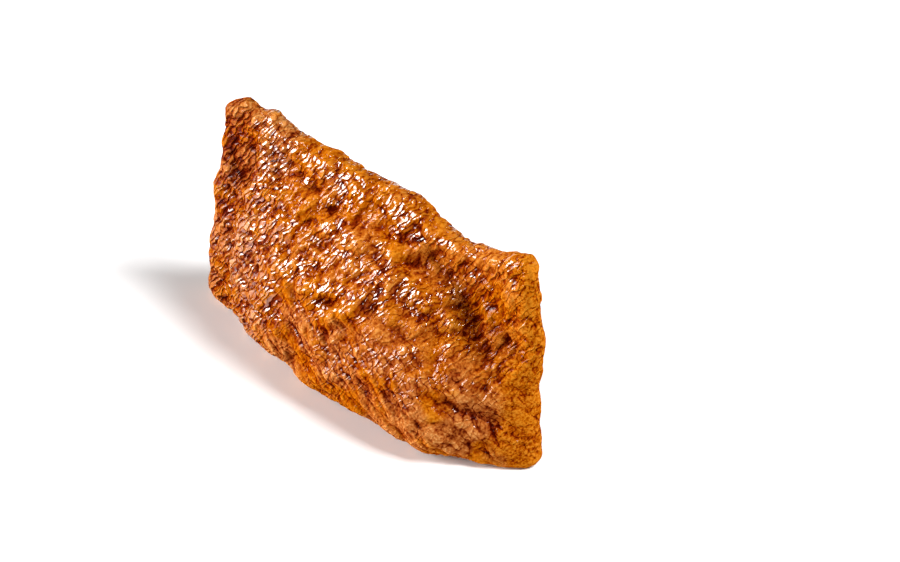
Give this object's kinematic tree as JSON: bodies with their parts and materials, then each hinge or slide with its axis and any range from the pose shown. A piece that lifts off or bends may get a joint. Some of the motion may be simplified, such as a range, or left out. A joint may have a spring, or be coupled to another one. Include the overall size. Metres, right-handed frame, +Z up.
{
  "type": "inari sushi",
  "caption": "Simmered fried-tofu pouch filled with rice, standing on its folded mouth, with a crumpled skin and pressed rims.",
  "frame": {"origin": "middle of the footprint's box, at the level that the pouch stands on", "axes": "+Z up, +X along the pouch towards the end with the curled upper corner, +Y through its thickness towards the back"},
  "size_m": [0.0686, 0.0276, 0.0411],
  "materials": {
    "tofu_skin": "fried tofu skin simmered in sweet soy broth: golden-brown puffs, dark red-brown creases, wet gloss on the crests"
  },
  "bodies": {
    "root": {"tofu_pouch": "tofu_skin"}
  },
  "joints": []
}
